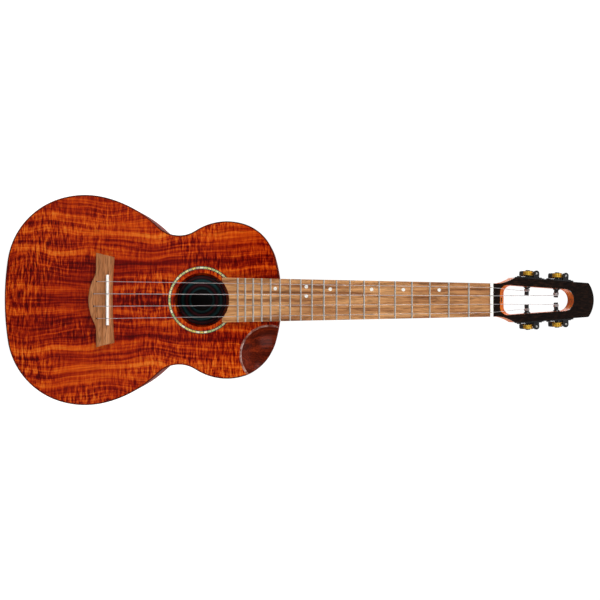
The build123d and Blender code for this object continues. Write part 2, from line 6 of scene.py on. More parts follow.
import bmesh
import bpy
from mathutils import Matrix, Vector


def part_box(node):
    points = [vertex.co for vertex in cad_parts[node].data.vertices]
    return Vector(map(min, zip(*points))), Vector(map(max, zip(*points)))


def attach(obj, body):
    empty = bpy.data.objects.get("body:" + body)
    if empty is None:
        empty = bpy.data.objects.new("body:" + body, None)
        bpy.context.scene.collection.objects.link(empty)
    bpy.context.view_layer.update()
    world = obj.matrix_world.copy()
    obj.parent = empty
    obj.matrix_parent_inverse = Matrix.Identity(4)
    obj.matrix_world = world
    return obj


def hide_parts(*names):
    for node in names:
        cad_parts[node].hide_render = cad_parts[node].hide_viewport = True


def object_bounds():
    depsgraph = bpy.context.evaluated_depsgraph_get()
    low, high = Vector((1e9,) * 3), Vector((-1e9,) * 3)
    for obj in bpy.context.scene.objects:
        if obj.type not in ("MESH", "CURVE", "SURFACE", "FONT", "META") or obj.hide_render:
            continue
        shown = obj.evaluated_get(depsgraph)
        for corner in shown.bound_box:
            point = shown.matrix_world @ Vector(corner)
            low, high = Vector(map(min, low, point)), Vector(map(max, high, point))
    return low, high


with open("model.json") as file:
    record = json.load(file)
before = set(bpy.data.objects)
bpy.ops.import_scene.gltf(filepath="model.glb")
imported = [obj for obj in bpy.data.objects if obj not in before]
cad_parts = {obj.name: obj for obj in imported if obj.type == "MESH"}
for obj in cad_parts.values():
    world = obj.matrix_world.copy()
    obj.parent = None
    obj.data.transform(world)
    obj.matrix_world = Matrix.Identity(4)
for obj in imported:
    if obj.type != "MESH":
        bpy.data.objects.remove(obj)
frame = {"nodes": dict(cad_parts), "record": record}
cad_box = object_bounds()
nodes = frame["nodes"]
record = frame["record"]
joints = {joint["name"]: joint for joint in record["behaviour"]["joints"]}
slot_of = {part["node"]: part["material_slot"] for part in record["subparts"]}
body_of = {node: body for body, held in record["behaviour"]["bodies"].items() for node in held}
MM = 0.001
PER_MM = 1000


# ---- materials: what all of them use ----
def linear(hex_colour):
    """sRGB hex to the linear colour that a shader takes."""
    channels = [int(hex_colour[i:i + 2], 16) / 255 for i in (1, 3, 5)]
    return [c / 12.92 if c <= 0.04045 else ((c + 0.055) / 1.055) ** 2.4 for c in channels] + [1.0]


def put(tree, kind, inputs=None, out=None, stops=None, **settings):
    """Adds a node with its settings, its values and its links, and gives the node, or its socket named out.

    A value that is a socket is linked. Stops fill a colour ramp: each is a place and a colour or a grey."""
    made = tree.nodes.new(kind)
    for name, value in settings.items():
        setattr(made, name, value)
    for name, value in (inputs or {}).items():
        if isinstance(value, bpy.types.NodeSocket):
            tree.links.new(value, made.inputs[name])
        else:
            made.inputs[name].default_value = value
    if stops:
        ramp = made.color_ramp
        while len(ramp.elements) < len(stops):
            ramp.elements.new(0.5)
        for element, (position, colour) in zip(ramp.elements, stops):
            element.position = position
            element.color = linear(colour) if isinstance(colour, str) else (colour, colour, colour, 1)
    return made if out is None else made.outputs[out]


def new_material(name, **shader_values):
    """Material with one Principled shader, its plain values set on the shader's own sockets."""
    material = bpy.data.materials.new(name)
    material.use_nodes = True
    tree = material.node_tree
    tree.nodes.clear()
    shader = put(tree, "ShaderNodeBsdfPrincipled", shader_values)
    put(tree, "ShaderNodeOutputMaterial", {"Surface": shader.outputs["BSDF"]})
    return material, tree, shader


def grain_shade(tree, across_mm, along_mm, grain="Z", detail=3.0, roughness=0.6, distortion=0.0):
    """Shade that changes about every across_mm across the grain and every along_mm along it."""
    where = put(tree, "ShaderNodeTexCoord", out="Object")
    scale = [PER_MM / (along_mm if axis == grain else across_mm) for axis in "XYZ"]
    squeezed = put(tree, "ShaderNodeMapping", {"Vector": where, "Scale": scale}, "Vector")
    return put(tree, "ShaderNodeTexNoise",
               {"Vector": squeezed, "Scale": 1.0, "Detail": detail, "Roughness": roughness,
                "Distortion": distortion}, "Fac")


# ---- koa ----
CURL_STRENGTH = {"top": 1.0, "back": 0.36, "side": 0.42}


def koa_figure(tree, kind):
    """Growth stripes along z and curl across them, for a plate or for a side; all shades are about a half.

    Gives both together, the broad and the fine stripes, the curl, and the line that the stripes follow."""
    where = put(tree, "ShaderNodeTexCoord", out="Object")
    x, y, z = put(tree, "ShaderNodeSeparateXYZ", {"Vector": where}).outputs
    # both halves of a plate match like an opened book
    # a bent side's stripes follow its length, so they change with depth only
    across = y if kind == "side" else put(tree, "ShaderNodeMath", {0: x}, 0, operation="ABSOLUTE")
    # the stripes wander about a centimetre over the plate, and about a millimetre here and there
    line = across
    for start, scale, shift, reach in ((across, (9.0, 6.5, 1.0), 0.0, 0.055 if kind == "top" else 0.03),
                                       (x, (40.0, 22.0, 1.0), 3.7, 0.006)):
        flat = put(tree, "ShaderNodeCombineXYZ", {"X": start, "Y": z}, 0)
        at = put(tree, "ShaderNodeMapping", {"Vector": flat, "Location": (0, 0, shift), "Scale": scale}, 0)
        drift = put(tree, "ShaderNodeTexNoise",
                    {"Vector": at, "Scale": 1.0, "Detail": 2.0, "Roughness": 0.5, "Distortion": 0.0}, "Fac")
        centred = put(tree, "ShaderNodeMath", {0: drift, 1: 0.5}, 0, operation="SUBTRACT")
        line = put(tree, "ShaderNodeMath", {0: centred, 1: reach, 2: line}, 0, operation="MULTIPLY_ADD")
    # broad growth stripes about 16 mm apart, then fine ones about 3 mm apart
    along_line = put(tree, "ShaderNodeCombineXYZ", {"X": line, "Y": z}, 0)
    stripes = []
    for scale, shift, roughness in (((62.0, 3.2, 1.0), 1.9 if kind == "top" else 8.3, 0.55),
                                    ((330.0, 9.0, 1.0), 5.1, 0.6)):
        at = put(tree, "ShaderNodeMapping",
                 {"Vector": along_line, "Location": (0, 0, shift), "Scale": scale}, 0)
        stripes.append(put(tree, "ShaderNodeTexNoise",
                           {"Vector": at, "Scale": 1.0, "Detail": 3.0, "Roughness": roughness,
                            "Distortion": 0.0}, "Fac"))
    broad, fine = stripes
    broad_share = put(tree, "ShaderNodeMath", {0: broad, 1: 0.62}, 0, operation="MULTIPLY")
    striped = put(tree, "ShaderNodeMath", {0: fine, 1: 0.38, 2: broad_share}, 0, operation="MULTIPLY_ADD")
    # curl: bars across the grain about 3 mm apart and 15 mm long, in patches 6 to 9 cm wide
    laid = put(tree, "ShaderNodeCombineXYZ", {"X": x, "Y": z, "Z": y}, 0)
    bars_at = put(tree, "ShaderNodeMapping", {"Vector": laid, "Scale": (66.0, 380.0, 66.0)}, 0)
    bars = put(tree, "ShaderNodeTexNoise",
               {"Vector": bars_at, "Scale": 1.0, "Detail": 3.5, "Roughness": 0.70, "Distortion": 0.30}, "Fac")
    patch_at = put(tree, "ShaderNodeMapping", {"Vector": laid, "Scale": (16.0, 11.0, 12.0)}, 0)
    patches = put(tree, "ShaderNodeTexNoise",
                  {"Vector": patch_at, "Scale": 1.0, "Detail": 1.0, "Roughness": 0.5, "Distortion": 0.0},
                  "Fac")
    patch = put(tree, "ShaderNodeMath", {0: patches, 1: 2.6, 2: -0.60}, 0, operation="MULTIPLY_ADD",
                use_clamp=True)
    strength = put(tree, "ShaderNodeMath", {0: patch, 1: CURL_STRENGTH[kind]}, 0, operation="MULTIPLY")
    centred = put(tree, "ShaderNodeMath", {0: bars, 1: 0.5}, 0, operation="SUBTRACT")
    curl = put(tree, "ShaderNodeMath", {0: centred, 1: strength}, 0, operation="MULTIPLY")
    tone = put(tree, "ShaderNodeMath", {0: striped, 1: curl}, 0, operation="ADD")
    return tone, broad, fine, curl, along_line


def with_sapwood(tree, colour, broad, fine, curl):
    """Colour of the back with pale sapwood down both sides of its joint, about 30 mm wide in all."""
    where = put(tree, "ShaderNodeTexCoord", out="Object")
    x, y, z = put(tree, "ShaderNodeSeparateXYZ", {"Vector": where}).outputs
    flat = put(tree, "ShaderNodeCombineXYZ", {"X": x, "Y": z}, 0)
    edge_at = put(tree, "ShaderNodeMapping", {"Vector": flat, "Scale": (3.0, 11.0, 1.0)}, 0)
    wave = put(tree, "ShaderNodeTexNoise",
               {"Vector": edge_at, "Scale": 1.0, "Detail": 2.0, "Roughness": 0.5, "Distortion": 0.0}, "Fac")
    edge = put(tree, "ShaderNodeMath", {0: wave, 1: 8 * MM, 2: 10.8 * MM}, 0, operation="MULTIPLY_ADD")
    reach = put(tree, "ShaderNodeMath", {0: x}, 0, operation="ABSOLUTE")
    room = put(tree, "ShaderNodeMath", {0: edge, 1: reach}, 0, operation="SUBTRACT")
    inside = put(tree, "ShaderNodeMath", {0: room, 1: 900.0, 2: 0.5}, 0, operation="MULTIPLY_ADD",
                 use_clamp=True)
    broad_share = put(tree, "ShaderNodeMath", {0: broad, 1: 0.45}, 0, operation="MULTIPLY")
    streaks = put(tree, "ShaderNodeMath", {0: fine, 1: 0.55, 2: broad_share}, 0, operation="MULTIPLY_ADD")
    sapwood = put(tree, "ShaderNodeValToRGB", {"Fac": streaks}, "Color",
                  stops=[(0.30, "#C03E02"), (0.48, "#E45404"), (0.62, "#F46C0A"), (0.74, "#FA8C24")])
    bars = put(tree, "ShaderNodeMath", {0: curl, 1: 3.0, 2: 0.5}, 0, operation="MULTIPLY_ADD",
               use_clamp=True)
    glow = put(tree, "ShaderNodeValToRGB", {"Fac": bars}, "Color", stops=[(0.0, 0.86), (1.0, 1.10)])
    curled = put(tree, "ShaderNodeMix", {0: 1.0, 6: sapwood, 7: glow}, 2, data_type="RGBA",
                 blend_type="MULTIPLY")
    return put(tree, "ShaderNodeMix", {0: inside, 6: colour, 7: curled}, 2, data_type="RGBA",
               blend_type="MIX")


KOA_TONES = {
    "top": [(0.345, "#460100"), (0.42, "#6A0701"), (0.478, "#901D02"), (0.533, "#B03404"), (0.597, "#CA4E0A"),
            (0.70, "#DC7020")],
    "back": [(0.40, "#440000"), (0.47, "#600300"), (0.53, "#881201"), (0.59, "#AE2A03"), (0.67, "#CE4606"),
             (0.79, "#E06616")],
    "side": [(0.38, "#480400"), (0.45, "#640A01"), (0.52, "#8A2004"), (0.60, "#B03C08"), (0.70, "#CE5C14")],
}


def figured_koa(name, kind):
    """Curly koa under gloss lacquer, book-matched on the plates.

    The eye gets orange bars that break up maroon stripes, dark hairline pores and a deep wet shine."""
    material, tree, shader = new_material(
        name, **{"Roughness": 0.42, "Coat Weight": 0.4, "Coat Roughness": 0.09, "Coat IOR": 1.45,
                 "Specular IOR Level": 0.0})
    tone, broad, fine, curl, along_line = koa_figure(tree, kind)
    if kind == "back":
        # the back is paler towards the neck
        where = put(tree, "ShaderNodeTexCoord", out="Object")
        height = put(tree, "ShaderNodeSeparateXYZ", {"Vector": where}, "Z")
        paler = put(tree, "ShaderNodeMath", {0: height, 1: 0.8, 2: -0.14}, 0, operation="MULTIPLY_ADD",
                    use_clamp=True)
        tone = put(tree, "ShaderNodeMath", {0: tone, 1: paler}, 0, operation="ADD")
    colour = put(tree, "ShaderNodeValToRGB", {"Fac": tone}, "Color", stops=KOA_TONES[kind])
    if kind == "back":
        colour = with_sapwood(tree, colour, broad, fine, curl)
    # pores: dark hairlines along the grain, drawn 0.7 mm wide so that they show
    pore_at = put(tree, "ShaderNodeMapping",
                  {"Vector": along_line, "Location": (0, 0, 0.4), "Scale": (1500.0, 60.0, 1.0)}, 0)
    pore = put(tree, "ShaderNodeTexNoise",
               {"Vector": pore_at, "Scale": 1.0, "Detail": 1.0, "Roughness": 0.5, "Distortion": 0.0}, "Fac")
    open_pore = put(tree, "ShaderNodeMath", {0: pore, 1: 4.0, 2: -1.35}, 0, operation="MULTIPLY_ADD",
                    use_clamp=True)
    shade = put(tree, "ShaderNodeValToRGB", {"Fac": open_pore}, "Color", stops=[(0.0, 0.62), (0.5, 1.0)])
    with_pores = put(tree, "ShaderNodeMix", {0: 0.7, 6: colour, 7: shade}, 2, data_type="RGBA",
                     blend_type="MULTIPLY")
    tree.links.new(with_pores, shader.inputs["Base Color"])
    return material


# ---- the other woods ----
def planed_wood(name, stops, grain, across_mm, roughness, coat=0.0, pores=0.75, streak=0.6, shine=0.2):
    """Straight-grained wood, planed and oiled or sealed.

    The eye gets long soft streaks and fine dark pore lines, drawn 0.7 mm wide so that they show."""
    material, tree, shader = new_material(
        name, **{"Roughness": roughness, "Coat Weight": coat, "Coat Roughness": 0.2,
                 "Specular IOR Level": shine})
    broad = grain_shade(tree, across_mm, across_mm * 22, grain, 3.0, 0.55, 0.4)
    fine = grain_shade(tree, across_mm / 6, across_mm * 9, grain, 2.0, 0.6)
    fine_share = put(tree, "ShaderNodeMath", {0: fine, 1: 1 - streak}, 0, operation="MULTIPLY")
    tone = put(tree, "ShaderNodeMath", {0: broad, 1: streak, 2: fine_share}, 0, operation="MULTIPLY_ADD")
    colour = put(tree, "ShaderNodeValToRGB", {"Fac": tone}, "Color", stops=stops)
    pore = grain_shade(tree, 0.7, 9.0, grain, 1.0, 0.5)
    open_pore = put(tree, "ShaderNodeMath", {0: pore, 1: 5.0, 2: -1.8}, 0, operation="MULTIPLY_ADD",
                    use_clamp=True)
    shade = put(tree, "ShaderNodeValToRGB", {"Fac": open_pore}, "Color", stops=[(0.0, pores), (0.6, 1.0)])
    darkened = put(tree, "ShaderNodeMix", {0: 1.0, 6: colour, 7: shade}, 2, data_type="RGBA",
                   blend_type="MULTIPLY")
    tree.links.new(darkened, shader.inputs["Base Color"])
    pore_depth = put(tree, "ShaderNodeBump",
                     {"Height": open_pore, "Distance": 0.05 * MM, "Strength": 1.0}, "Normal")
    tree.links.new(pore_depth, shader.inputs["Normal"])
    return material


def ebonised_faceplate():
    """Ebonised veneer, buffed: nearly black with a breath of brown grain, so it isn't a flat black."""
    material, tree, shader = new_material(
        "ebonised_faceplate", **{"Roughness": 0.4, "Coat Weight": 0.35, "Coat Roughness": 0.1,
                                 "Specular IOR Level": 0.05})
    colour = put(tree, "ShaderNodeValToRGB", {"Fac": grain_shade(tree, 1.6, 40.0)}, "Color",
                 stops=[(0.35, "#0B0605"), (0.55, "#170D09"), (0.72, "#2A170E")])
    tree.links.new(colour, shader.inputs["Base Color"])
    return material


# ---- bone, shell, metal, plastic and paper ----
def polished_bone():
    """Bleached bone, polished: warm white with faint darker flecks along its length."""
    material, tree, shader = new_material(
        "polished_bone", **{"Roughness": 0.28, "Subsurface Weight": 0.08, "Subsurface Scale": 1 * MM})
    colour = put(tree, "ShaderNodeValToRGB", {"Fac": grain_shade(tree, 1.2, 7.0, "X")}, "Color",
                 stops=[(0.3, "#EDE6DA"), (0.5, "#FBF8F1"), (0.7, "#FFFEFC")])
    tree.links.new(colour, shader.inputs["Base Color"])
    return material


def polished_shell(name, stops, cell_mm, mosaic=False):
    """Shell ground flat and polished: bands of green, silver and rose that swirl inside each piece.

    In a mosaic each piece has its own shade; elsewhere the cells of the shell give it."""
    material, tree, shader = new_material(
        name, **{"Roughness": 0.16, "Coat Weight": 1.0, "Coat Roughness": 0.04,
                 "Specular IOR Level": 0.6})
    where = put(tree, "ShaderNodeTexCoord", out="Object")
    if mosaic:
        pick = put(tree, "ShaderNodeAttribute", out="Fac", attribute_name="shade")
    else:
        cells = put(tree, "ShaderNodeTexVoronoi",
                    {"Vector": where, "Scale": PER_MM / cell_mm, "Randomness": 1.0}, "Color")
        pick = put(tree, "ShaderNodeSeparateColor", {"Color": cells}, 0)
    swirl = put(tree, "ShaderNodeTexNoise",
                {"Vector": where, "Scale": PER_MM / (cell_mm * 0.8), "Detail": 4.0, "Roughness": 0.6,
                 "Distortion": 1.2}, "Fac")
    swirl_share = put(tree, "ShaderNodeMath", {0: swirl, 1: 0.5}, 0, operation="MULTIPLY")
    tone = put(tree, "ShaderNodeMath", {0: pick, 1: 0.55, 2: swirl_share}, 0, operation="MULTIPLY_ADD")
    colour = put(tree, "ShaderNodeValToRGB", {"Fac": tone}, "Color", stops=stops)
    tree.links.new(colour, shader.inputs["Base Color"])
    return material


def worked_metal(name, light, dark, roughness, mark_mm, brushed="Z"):
    """Drawn, turned or cut metal: fine marks that break the shine into soft streaks."""
    material, tree, shader = new_material(name, **{"Metallic": 1.0, "Roughness": roughness})
    marks = grain_shade(tree, mark_mm, mark_mm * 14, brushed, 2.0, 0.6)
    colour = put(tree, "ShaderNodeValToRGB", {"Fac": marks}, "Color", stops=[(0.3, dark), (0.7, light)])
    tree.links.new(colour, shader.inputs["Base Color"])
    rough = put(tree, "ShaderNodeMath", {0: marks, 1: 0.18, 2: roughness - 0.09}, 0, operation="MULTIPLY_ADD")
    tree.links.new(rough, shader.inputs["Roughness"])
    mark_depth = put(tree, "ShaderNodeBump",
                     {"Height": marks, "Distance": 0.008 * MM, "Strength": 1.0}, "Normal")
    tree.links.new(mark_depth, shader.inputs["Normal"])
    return material


def black_finish(name, roughness, coat):
    """Black plating, moulding or inlay: dark neutral grey, faintly mottled and a touch lighter in places."""
    material, tree, shader = new_material(
        name, **{"Coat Weight": coat, "Coat Roughness": 0.06, "Specular IOR Level": 0.5})
    where = put(tree, "ShaderNodeTexCoord", out="Object")
    mottle = put(tree, "ShaderNodeTexNoise",
                 {"Vector": where, "Scale": 420.0, "Detail": 4.0, "Roughness": 0.6, "Distortion": 0.0}, "Fac")
    colour = put(tree, "ShaderNodeValToRGB", {"Fac": mottle}, "Color",
                 stops=[(0.3, "#0C0B0C"), (0.55, "#171517"), (0.8, "#2B272A")])
    tree.links.new(colour, shader.inputs["Base Color"])
    rough = put(tree, "ShaderNodeMath", {0: mottle, 1: 0.2, 2: roughness - 0.1}, 0, operation="MULTIPLY_ADD")
    tree.links.new(rough, shader.inputs["Roughness"])
    return material


def clear_fluorocarbon():
    """Clear drawn monofilament: pale, slightly see-through line with a thin bright edge."""
    material, tree, shader = new_material(
        "clear_fluorocarbon", **{"Roughness": 0.22, "IOR": 1.42, "Transmission Weight": 0.6,
                                 "Specular IOR Level": 0.7})
    where = put(tree, "ShaderNodeTexCoord", out="Object")
    tint = put(tree, "ShaderNodeTexNoise",
               {"Vector": where, "Scale": 90.0, "Detail": 2.0, "Roughness": 0.5, "Distortion": 0.0}, "Fac")
    colour = put(tree, "ShaderNodeValToRGB", {"Fac": tint}, "Color",
                 stops=[(0.3, "#CFC6C6"), (0.7, "#EDE8E8")])
    tree.links.new(colour, shader.inputs["Base Color"])
    return material


LABEL_RADIUS = 30 * MM


def ringed_label():
    """Paper disc: dark ground with thin rings of teal and maroon, and no words."""
    material, tree, shader = new_material("ringed_paper_label", **{"Roughness": 0.6})
    where = put(tree, "ShaderNodeTexCoord", out="Object")
    low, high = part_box("label")
    centre = (Vector(low) + Vector(high)) / 2
    moved = put(tree, "ShaderNodeMapping", {"Vector": where, "Location": -centre}, "Vector")
    x, y, z = put(tree, "ShaderNodeSeparateXYZ", {"Vector": moved}).outputs
    flat = put(tree, "ShaderNodeCombineXYZ", {"X": x, "Y": z}, 0)
    reach = put(tree, "ShaderNodeVectorMath", {0: flat}, "Value", operation="LENGTH")
    part_way = put(tree, "ShaderNodeMath", {0: reach, 1: LABEL_RADIUS}, 0, operation="DIVIDE")
    rings = put(tree, "ShaderNodeValToRGB", {"Fac": part_way}, "Color",
                stops=[(0.0, "#1C1516"), (0.42, "#1A1315"), (0.47, "#2B7276"), (0.55, "#181213"),
                       (0.62, "#7A2636"), (0.69, "#1A1315"), (0.79, "#30797E"), (0.86, "#1A1315"),
                       (0.92, "#7A2A34"), (0.98, "#181213")])
    fibres = put(tree, "ShaderNodeTexNoise",
                 {"Vector": where, "Scale": 900.0, "Detail": 3.0, "Roughness": 0.6, "Distortion": 0.0}, "Fac")
    paper = put(tree, "ShaderNodeValToRGB", {"Fac": fibres}, "Color", stops=[(0.3, 0.75), (0.7, 1.0)])
    rings_on_paper = put(tree, "ShaderNodeMix", {0: 0.5, 6: rings, 7: paper}, 2, data_type="RGBA",
                  blend_type="MULTIPLY")
    tree.links.new(rings_on_paper, shader.inputs["Base Color"])
    return material


mahogany = planed_wood(
    "satin_mahogany", [(0.30, "#BE4E09"), (0.46, "#DA660D"), (0.58, "#EA7A15"), (0.74, "#F49029")], "Z", 5.0,
    0.42, coat=0.15, pores=0.72, shine=0.12)
walnut_bridge = planed_wood(
    "oiled_walnut_bridge", [(0.30, "#84481F"), (0.44, "#A1643A"), (0.56, "#B5784C"), (0.72, "#C88C5E")], "X",
    3.6, 0.5, pores=0.55)
faceplate = ebonised_faceplate()
abalone = polished_shell(
    "polished_abalone", [(0.10, "#3A4A2C"), (0.26, "#9AB06C"), (0.40, "#D6D49A"), (0.50, "#F4EFD6"),
                         (0.60, "#E8C650"), (0.72, "#A9B27C"), (0.86, "#C9B0A0")], 3.0, mosaic=True)
steel = worked_metal("turned_steel", "#B9B7B4", "#8B8986", 0.34, 0.3)
clear_string = clear_fluorocarbon()

FINISHES = {
    "koa_top": figured_koa("curly_koa_top", "top"),
    "koa_back": figured_koa("striped_koa_back", "back"),
    "koa_side": figured_koa("bent_koa_side", "side"),
    "lining_wood": planed_wood(
        "bare_lime", [(0.30, "#9A6A38"), (0.50, "#B4844C"), (0.72, "#CBA06A")], "Z", 3.0, 0.7),
    "rosewood": planed_wood(
        "satin_rosewood", [(0.32, "#300600"), (0.46, "#4E1202"), (0.58, "#6E1F06"), (0.72, "#8A3412")], "Z",
        6.0, 0.5, coat=0.08, pores=0.6, shine=0.03),
    "spruce": planed_wood(
        "bare_spruce", [(0.30, "#B08A52"), (0.50, "#CFAE78"), (0.72, "#E2C795")], "X", 1.6, 0.7),
    # the ring round the soundhole is black; the shell pieces lie in it
    "abalone": black_finish("black_inlay_line", 0.4, 0.8),
    "walnut": planed_wood(
        "oiled_walnut_board", [(0.34, "#6E4326"), (0.43, "#9C653B"), (0.51, "#BC8452"), (0.59, "#D29A64"),
                               (0.68, "#E2AE78")], "Z", 5.5, 0.5, pores=0.6, streak=0.72),
    "bone": polished_bone(),
    "purfling": polished_shell(
        "pale_shell_line", [(0.1, "#4A1C12"), (0.5, "#7C4638"), (0.9, "#B89084")], 4.0),
    "mahogany": mahogany,
    "ebony": faceplate,
    "stripe_wood": planed_wood(
        "satin_dark_stripe", [(0.30, "#150A06"), (0.50, "#2A140B"), (0.72, "#452414")], "Z", 1.2, 0.42,
        coat=0.3),
    "steel": steel,
    "fret_wire": worked_metal("drawn_nickel_silver", "#F4F1EC", "#D2CDC4", 0.42, 0.4, "X"),
    "pearl": polished_shell(
        "mother_of_pearl", [(0.1, "#CFCFC6"), (0.4, "#F4F2EA"), (0.7, "#FFFFFA"), (0.95, "#DADFE0")], 3.0),
    "label_paper": ringed_label(),
    "string": clear_string,
    "black_metal": black_finish("black_plated_steel", 0.34, 0.3),
    "black_button": black_finish("polished_black_button", 0.18, 1.0),
    "gear_brass": worked_metal("cut_brass", "#FFD95E", "#E3AF36", 0.52, 0.4),
}
# nodes whose wood differs from that of their slot
OWN_FINISHES = {"bridge": walnut_bridge, "bridge_plate": walnut_bridge, "heel_cap": mahogany}


def finish_of(node):
    return OWN_FINISHES.get(node, FINISHES[slot_of[node]])


for node, thing in nodes.items():
    for index in range(len(thing.material_slots)):
        thing.material_slots[index].material = finish_of(node)
    if not thing.material_slots:
        thing.data.materials.append(finish_of(node))


# ---- pieces that replace a CAD node with the same shape, sanded smooth ----
SHARP_FROM = math.radians(32)


def smoothed(node):
    """Copy of a CAD node with its loose triangles joined and its round faces shaded smooth."""
    mesh = nodes[node].data.copy()
    if "custom_normal" in mesh.attributes:
        mesh.attributes.remove(mesh.attributes["custom_normal"])
    work = bmesh.new()
    work.from_mesh(mesh)
    bmesh.ops.remove_doubles(work, verts=work.verts, dist=1e-6)
    bmesh.ops.dissolve_degenerate(work, edges=work.edges, dist=1e-7)
    for face in work.faces:
        face.smooth = True
    work.to_mesh(mesh)
    work.free()
    mesh.set_sharp_from_angle(angle=SHARP_FROM)
    piece = bpy.data.objects.new(f"{node}_smooth", mesh)
    bpy.context.scene.collection.objects.link(piece)
    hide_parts(node)
    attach(piece, body_of[node])
    piece.data.materials.clear()
    piece.data.materials.append(finish_of(node))


for node in ("soundboard", "side_bass", "side_treble", "back_bass", "back_treble", "top_binding",
             "back_binding", "scoop_panel", "scoop_purfling", "neck", "heel_cap", "neck_stripe", "bridge",
             "saddle", "nut", "frets", "headstock_faceplate", "tuner_collars", "fretboard"):
    smoothed(node)
STRINGS = (1, 2, 3, 4)
for number in STRINGS:
    smoothed(f"string_{number}")
for number in STRINGS:
    for part in ("button", "post", "plate", "gear"):
        smoothed(f"tuner_{number}_{part}")


# ---- Geometry Nodes: a thread or a winding, and the shell mosaic ----
def tree_with_inputs(name, sizes, counts=()):
    """Tree with named inputs for its counts, its sizes and its finish, and the outlets of those inputs."""
    tree = bpy.data.node_groups.new(name, "GeometryNodeTree")
    for label in counts:
        tree.interface.new_socket(label, in_out="INPUT", socket_type="NodeSocketInt")
    for label in sizes:
        tree.interface.new_socket(label, in_out="INPUT", socket_type="NodeSocketFloat")
    tree.interface.new_socket("Finish", in_out="INPUT", socket_type="NodeSocketMaterial")
    tree.interface.new_socket("Geometry", in_out="OUTPUT", socket_type="NodeSocketGeometry")
    return tree, put(tree, "NodeGroupInput").outputs


def wound_wire():
    """A wire wound along a round core: a string on its post, or the thread of a worm."""
    tree, given = tree_with_inputs(
        "wound_wire", ("Coil Radius", "Wire Radius", "Turns", "Length", "Core Radius", "Core Length"))
    spiral = put(tree, "GeometryNodeCurveSpiral",
                 {"Resolution": 28, "Rotations": given["Turns"], "Start Radius": given["Coil Radius"],
                  "End Radius": given["Coil Radius"], "Height": given["Length"]}, "Curve")
    section = put(tree, "GeometryNodeCurvePrimitiveCircle",
                  {"Resolution": 10, "Radius": given["Wire Radius"]}, "Curve")
    wire = put(tree, "GeometryNodeCurveToMesh",
               {"Curve": spiral, "Profile Curve": section, "Fill Caps": True}, "Mesh")
    core = put(tree, "GeometryNodeMeshCylinder",
               {"Vertices": 32, "Radius": given["Core Radius"], "Depth": given["Core Length"]}, "Mesh")
    half_way = put(tree, "ShaderNodeMath", {0: given["Length"], 1: 0.5}, 0, operation="MULTIPLY")
    middle = put(tree, "ShaderNodeCombineXYZ", {"Z": half_way}, 0)
    centred = put(tree, "GeometryNodeTransform", {"Geometry": core, "Translation": middle}, "Geometry")
    both = put(tree, "GeometryNodeJoinGeometry")
    tree.links.new(wire, both.inputs[0])
    tree.links.new(centred, both.inputs[0])
    smooth = put(tree, "GeometryNodeSetShadeSmooth", {"Geometry": both.outputs[0]}, 0)
    solid = put(tree, "GeometryNodeRealizeInstances", {"Geometry": smooth}, 0)
    finished = put(tree, "GeometryNodeSetMaterial", {"Geometry": solid, "Material": given["Finish"]}, 0)
    put(tree, "NodeGroupOutput", {"Geometry": finished})
    return tree


def ring_mosaic():
    """Flat pieces set end to end in a ring, each with its own shade."""
    tree, given = tree_with_inputs(
        "ring_mosaic", ("Ring Radius", "Piece Length", "Piece Width", "Piece Height"), ("Count",))
    ring = put(tree, "GeometryNodeCurvePrimitiveCircle", {"Resolution": 200, "Radius": given["Ring Radius"]},
               "Curve")
    points = put(tree, "GeometryNodeCurveToPoints", {"Curve": ring, "Count": given["Count"]},
                 mode="COUNT").outputs
    heading = put(tree, "FunctionNodeAlignRotationToVector", {"Vector": points["Tangent"]}, "Rotation",
                  axis="X")
    size = put(tree, "ShaderNodeCombineXYZ",
               {"X": given["Piece Length"], "Y": given["Piece Width"], "Z": given["Piece Height"]}, 0)
    tile = put(tree, "GeometryNodeMeshCube", {"Size": size}, "Mesh")
    laid = put(tree, "GeometryNodeInstanceOnPoints",
               {"Points": points["Points"], "Instance": tile, "Rotation": heading}, 0)
    luck = put(tree, "FunctionNodeRandomValue", {"Seed": 7}, 1, data_type="FLOAT")
    shaded = put(tree, "GeometryNodeStoreNamedAttribute",
                 {"Geometry": laid, "Name": "shade", "Value": luck}, 0, data_type="FLOAT", domain="INSTANCE")
    solid = put(tree, "GeometryNodeRealizeInstances", {"Geometry": shaded}, 0)
    finished = put(tree, "GeometryNodeSetMaterial", {"Geometry": solid, "Material": given["Finish"]}, 0)
    put(tree, "NodeGroupOutput", {"Geometry": finished})
    return tree


def grown(name, tree, values, place):
    """A plain mesh object made by a tree with its inputs set, then put in its place."""
    sockets = {item.name: item.identifier for item in tree.interface.items_tree if item.in_out == "INPUT"}
    seed = bpy.data.objects.new(f"{name}_seed", bpy.data.meshes.new(f"{name}_seed"))
    bpy.context.scene.collection.objects.link(seed)
    modifier = seed.modifiers.new("grow", "NODES")
    modifier.node_group = tree
    for label, value in values.items():
        modifier[sockets[label]] = value
    bpy.context.view_layer.update()
    evaluated = seed.evaluated_get(bpy.context.evaluated_depsgraph_get())
    mesh = bpy.data.meshes.new_from_object(evaluated)
    mesh.transform(place)
    bpy.data.objects.remove(seed)
    piece = bpy.data.objects.new(name, mesh)
    bpy.context.scene.collection.objects.link(piece)
    return piece


def axes_along(origin, axis, start):
    """Matrix whose z runs along axis from origin, with x towards start."""
    z = Vector(axis).normalized()
    x = (Vector(start) - z * Vector(start).dot(z)).normalized()
    y = z.cross(x)
    rotation = Matrix((x, y, z)).transposed().to_4x4()
    return Matrix.Translation(origin) @ rotation


def string_end(number):
    """Middle of the end of a string at its post."""
    points = [v.co for v in nodes[f"string_{number}"].data.vertices]
    top = max(p.z for p in points)
    near = [p for p in points if p.z > top - 0.6 * MM]
    return sum(near, Vector()) / len(near)


